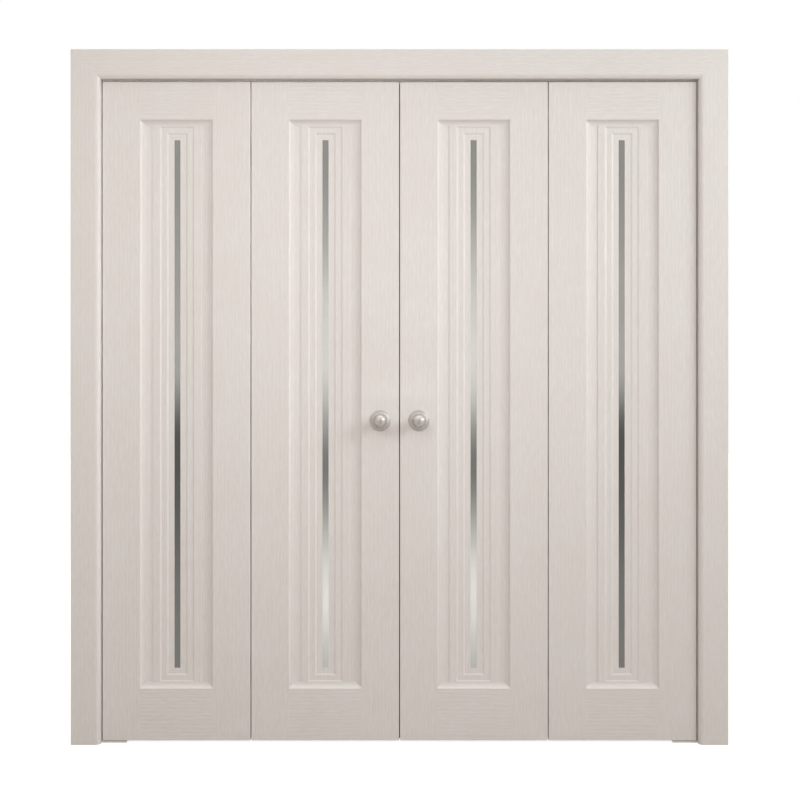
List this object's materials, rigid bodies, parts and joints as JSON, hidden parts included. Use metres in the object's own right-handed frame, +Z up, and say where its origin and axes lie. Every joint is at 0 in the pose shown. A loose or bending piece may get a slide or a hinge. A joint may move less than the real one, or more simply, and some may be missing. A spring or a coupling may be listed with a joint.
{
  "type": "bifold closet door",
  "caption": "Double bifold closet door: four panelled leaves with narrow mirror strips, folding in pairs on jamb pivots and a top track, in a jamb with mitred casing.",
  "frame": {"origin": "floor line, middle of the overall width and of the overall depth with the leaves closed", "axes": "+X to the right seen from the room, +Y from the room into the closet, +Z up"},
  "size_m": [2.019, 0.171, 2.1355],
  "materials": {
    "leaf_paint": "satin",
    "trim_paint": "satin",
    "strip_mirror": "polished",
    "satin_nickel": "satin",
    "plated_steel": "satin",
    "bracket_enamel": "satin",
    "spring_steel": "satin",
    "track_aluminium": "satin",
    "nylon": "satin",
    "stop_rubber": "matte"
  },
  "bodies": {
    "frame": {"jamb_left": "trim_paint", "jamb_right": "trim_paint", "head_jamb": "trim_paint", "casing_left": "trim_paint", "casing_right": "trim_paint", "casing_head": "trim_paint", "top_track": "track_aluminium", "track_snubber": "stop_rubber", "left_top_pivot_bracket": "bracket_enamel", "right_top_pivot_bracket": "bracket_enamel", "left_bottom_pivot_bracket": "bracket_enamel", "right_bottom_pivot_bracket": "bracket_enamel"},
    "left_pivot_leaf": {"left_pivot_leaf_left_stile": "leaf_paint", "left_pivot_leaf_right_stile": "leaf_paint", "left_pivot_leaf_top_rail": "leaf_paint", "left_pivot_leaf_bottom_rail": "leaf_paint", "left_pivot_leaf_panel": "leaf_paint", "left_pivot_leaf_mirror_strips": "strip_mirror", "left_pivot_sleeves": "nylon", "left_bottom_pivot_pin": "plated_steel", "left_pivot_spring": "spring_steel", "left_pivot_hinge_plates_and_pins": "plated_steel"},
    "left_lead_leaf": {"left_lead_leaf_left_stile": "leaf_paint", "left_lead_leaf_right_stile": "leaf_paint", "left_lead_leaf_top_rail": "leaf_paint", "left_lead_leaf_bottom_rail": "leaf_paint", "left_lead_leaf_panel": "leaf_paint", "left_lead_leaf_mirror_strips": "strip_mirror", "left_guide_sleeve": "nylon", "left_guide_spring": "spring_steel", "left_lead_hinge_plates": "plated_steel", "left_knob": "satin_nickel", "left_knob_rose": "satin_nickel"},
    "left_top_pivot_pin": {"left_top_pivot_pin": "plated_steel"},
    "left_guide_pin": {"left_guide_pin": "plated_steel"},
    "left_guide_roller": {"left_guide_roller": "nylon"},
    "right_pivot_leaf": {"right_pivot_leaf_left_stile": "leaf_paint", "right_pivot_leaf_right_stile": "leaf_paint", "right_pivot_leaf_top_rail": "leaf_paint", "right_pivot_leaf_bottom_rail": "leaf_paint", "right_pivot_leaf_panel": "leaf_paint", "right_pivot_leaf_mirror_strips": "strip_mirror", "right_pivot_sleeves": "nylon", "right_bottom_pivot_pin": "plated_steel", "right_pivot_spring": "spring_steel", "right_pivot_hinge_plates_and_pins": "plated_steel"},
    "right_lead_leaf": {"right_lead_leaf_left_stile": "leaf_paint", "right_lead_leaf_right_stile": "leaf_paint", "right_lead_leaf_top_rail": "leaf_paint", "right_lead_leaf_bottom_rail": "leaf_paint", "right_lead_leaf_panel": "leaf_paint", "right_lead_leaf_mirror_strips": "strip_mirror", "right_guide_sleeve": "nylon", "right_guide_spring": "spring_steel", "right_lead_hinge_plates": "plated_steel", "right_knob": "satin_nickel", "right_knob_rose": "satin_nickel"},
    "right_top_pivot_pin": {"right_top_pivot_pin": "plated_steel"},
    "right_guide_pin": {"right_guide_pin": "plated_steel"},
    "right_guide_roller": {"right_guide_roller": "nylon"}
  },
  "joints": [
    {"name": "left_pivot", "type": "hinge", "parent": "frame", "child": "left_pivot_leaf", "pos_m": [-0.8785, -0.012, 0.008], "axis": [0, 0, -1], "range_deg": [0, 85]},
    {"name": "left_fold", "type": "hinge", "parent": "left_pivot_leaf", "child": "left_lead_leaf", "pos_m": [-0.459, 0.01, 0.008], "axis": [0, 0, 1], "range_deg": [0, 170]},
    {"name": "left_top_pin_press", "type": "slide", "parent": "left_pivot_leaf", "child": "left_top_pivot_pin", "axis": [0, 0, -1], "range_m": [0, 0.014], "deforming": ["left_pivot_spring"]},
    {"name": "left_guide_pin_press", "type": "slide", "parent": "left_lead_leaf", "child": "left_guide_pin", "axis": [0, 0, -1], "range_m": [0, 0.008], "deforming": ["left_guide_spring"]},
    {"name": "left_roller_spin", "type": "hinge", "parent": "left_guide_pin", "child": "left_guide_roller", "pos_m": [-0.0395, -0.012, 2.056], "axis": [0, 0, 1], "continuous": true},
    {"name": "right_pivot", "type": "hinge", "parent": "frame", "child": "right_pivot_leaf", "pos_m": [0.8785, -0.012, 0.008], "axis": [0, 0, 1], "range_deg": [0, 85]},
    {"name": "right_fold", "type": "hinge", "parent": "right_pivot_leaf", "child": "right_lead_leaf", "pos_m": [0.459, 0.01, 0.008], "axis": [0, 0, -1], "range_deg": [0, 170]},
    {"name": "right_top_pin_press", "type": "slide", "parent": "right_pivot_leaf", "child": "right_top_pivot_pin", "axis": [0, 0, -1], "range_m": [0, 0.014], "deforming": ["right_pivot_spring"]},
    {"name": "right_guide_pin_press", "type": "slide", "parent": "right_lead_leaf", "child": "right_guide_pin", "axis": [0, 0, -1], "range_m": [0, 0.008], "deforming": ["right_guide_spring"]},
    {"name": "right_roller_spin", "type": "hinge", "parent": "right_guide_pin", "child": "right_guide_roller", "pos_m": [0.0395, -0.012, 2.056], "axis": [0, 0, 1], "continuous": true}
  ],
  "couplings": [
    {"joint": "left_fold", "follows": "left_pivot", "ratio": 2},
    {"joint": "right_fold", "follows": "right_pivot", "ratio": 2}
  ]
}
